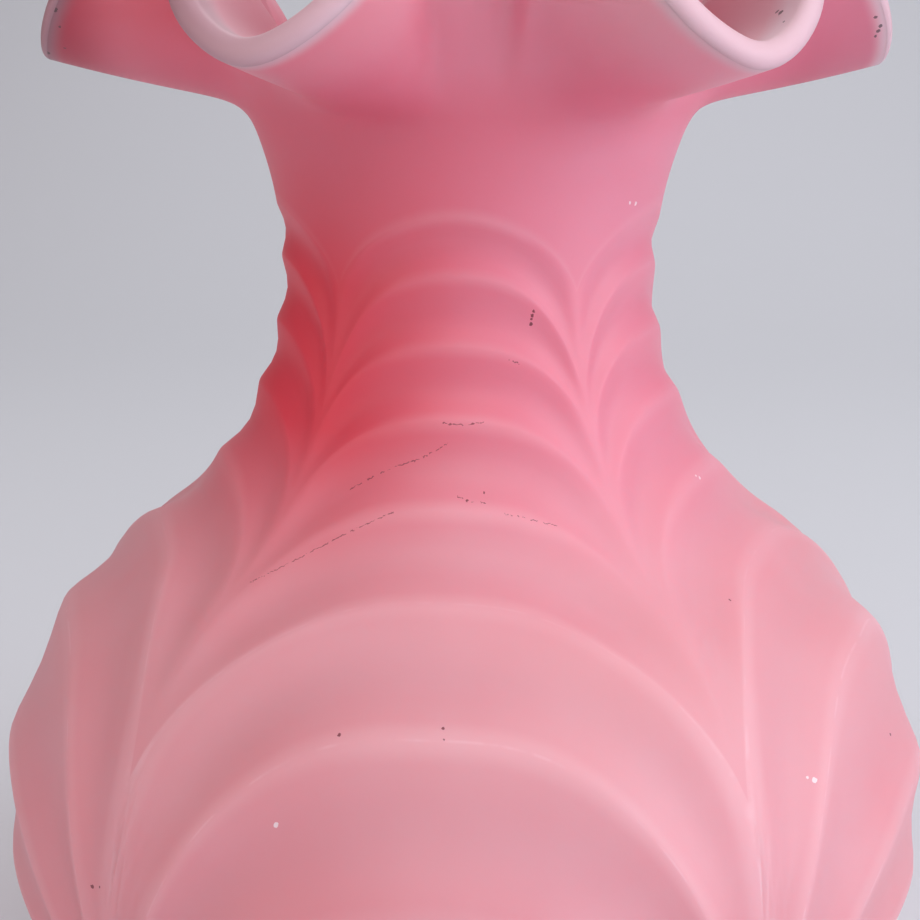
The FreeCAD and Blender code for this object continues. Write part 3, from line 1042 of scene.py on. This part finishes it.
@dataclass(frozen=True)
class Lamp:
    """Soft square lamp.

    Attributes:
        azimuth: Direction that it stands in, degrees.
        elevation: Angle above the floor, degrees.
        size: Side of the lamp, m.
        power: Watts.
        colour: Hex colour.
        away: Distance from the point that it is aimed at, m.
        aimed_at: Height of that point on the vase's axis, m.
    """

    name: str
    azimuth: float
    elevation: float
    size: float
    power: float
    colour: str = "#FFFFFF"
    away: float = 1.2
    aimed_at: float = 0.1

    def hang(self) -> None:
        """Put the lamp in the scene, unseen by the camera itself."""
        data = bpy.data.lights.new(self.name, "AREA")
        data.size = self.size
        data.energy = self.power
        data.color = linear(self.colour)[:3]
        lamp = link(self.name, data)
        lamp.visible_camera = False
        middle = Vector((0.0, 0.0, self.aimed_at))
        rise = math.radians(self.elevation)
        lamp.location = middle + around(math.radians(self.azimuth), self.away * math.cos(rise),
                                        self.away * math.sin(rise))
        lamp.rotation_euler = (middle - lamp.location).to_track_quat("-Z", "Y").to_euler()


@dataclass(frozen=True)
class Studio:
    """Plain pale floor and backdrop, soft lamps and the camera.

    Attributes:
        camera_distance: From the vase's axis, mm; camera_height is from the floor.
        camera_azimuth: Direction that it stands in, degrees; it is turned from there by camera_yaw,
            down by camera_pitch and sideways by camera_roll.
        lens: Focal length, mm.
        floor_reach: Half the length of the floor and backdrop, m; floor_side is half their width.
        bend_from: Where the floor turns up into the backdrop, m behind the axis.
        bend: Radius of the turn, m.
        glow: Colour of the light from all round; it is shown as backdrop where no floor is seen.
    """

    camera_distance: float = 235.0
    camera_height: float = 155.0
    camera_azimuth: float = 3.89
    camera_pitch: float = 14.13
    camera_yaw: float = 0.24
    camera_roll: float = 0.46
    lens: float = 65.13
    floor_colour: str = "#DDE1E9"
    floor_reach: float = 2.5
    floor_side: float = 0.65
    bend_from: float = 0.6
    bend: float = 0.8
    glow: str = "#6F6765"
    backdrop: str = "#C6CACD"
    lamps: tuple[Lamp, ...] = (
        Lamp("window", 70.0, 14.0, 0.9, 8.5, "#F6F7FF"), Lamp("ceiling_front", 5.0, 50.0, 1.0, 7.2),
        Lamp("ceiling_side", 90.0, 50.0, 0.8, 3.0), Lamp("ceiling_back", 180.0, 50.0, 0.8, 3.2),
        Lamp("room", -62.0, 10.0, 0.9, 3.0, "#FFDAD0"))

    def camera(self) -> None:
        """Camera in front of the vase, looking down at it."""
        data = bpy.data.cameras.new("camera")
        data.lens = self.lens
        data.sensor_width = 36.0
        data.clip_start = 0.01
        camera = link("camera", data)
        camera.location = around(math.radians(self.camera_azimuth), self.camera_distance,
                                 self.camera_height) * MM
        heading = math.radians(self.camera_azimuth + self.camera_yaw)
        look = (Matrix.Rotation(heading, 4, "Z")
                @ Matrix.Rotation(HALF_PI - math.radians(self.camera_pitch), 4, "X")
                @ Matrix.Rotation(math.radians(self.camera_roll), 4, "Z"))
        camera.rotation_euler = look.to_euler()
        bpy.context.scene.camera = camera

    def floor(self) -> None:
        """Floor that turns up into a backdrop."""
        grid = bmesh.new()
        bmesh.ops.create_grid(grid, x_segments=1, y_segments=60, size=self.floor_reach)
        for vertex in grid.verts:
            vertex.co.x *= self.floor_side / self.floor_reach
            away = vertex.co.y - self.bend_from
            if away > 0.0:
                turn = min(away / self.bend, HALF_PI)
                rest = away - self.bend * turn
                vertex.co.y = self.bend_from + self.bend * math.sin(turn)
                vertex.co.z = self.bend * (1.0 - math.cos(turn)) + rest
        floor = finished("floor", grid)
        material = bpy.data.materials.new("pale_card")
        tree = emptied(material)
        shader = add(tree, "BsdfPrincipled", Base_Color=linear(self.floor_colour), Roughness=0.9)
        add(tree, "OutputMaterial", Surface=shader.outputs["BSDF"])
        floor.data.materials.append(material)

    def world(self) -> None:
        """Even grey light from all round, shown paler than it shines."""
        world = bpy.data.worlds.new("room")
        tree = emptied(world)
        seen = add(tree, "LightPath").outputs["Is Camera Ray"]
        shade = add(tree, "Mix", {"data_type": "RGBA"}, _0=seen, _6=linear(self.glow),
                    _7=linear(self.backdrop)).outputs[2]
        glow = add(tree, "Background", Color=shade, Strength=1.0)
        add(tree, "OutputWorld", Surface=glow.outputs["Background"])
        bpy.context.scene.world = world

    def build(self) -> None:
        """Set up the stage."""
        self.camera()
        self.floor()
        self.world()
        for lamp in self.lamps:
            lamp.hang()
        bpy.context.scene.view_settings.view_transform = "Standard"


def main() -> None:
    """Dress the two layers and light them."""
    logging.basicConfig(level=logging.INFO, format="%(message)s")
    Studio().build()
    vase = Vase()
    pieces = ((vase.casing(), "rose_casing", "rose_glass", RoseOverlay()),
              (vase.lining(), "opal_lining", "opal_glass", OpalLayer()))
    for piece, node, slot, finish in pieces:
        piece.data.materials.append(finish.material(vase))
        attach(piece, "root")
        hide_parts(node)
        log.info("%s: %d faces", piece.name, len(piece.data.polygons))


if __name__ == "__main__":
    main()
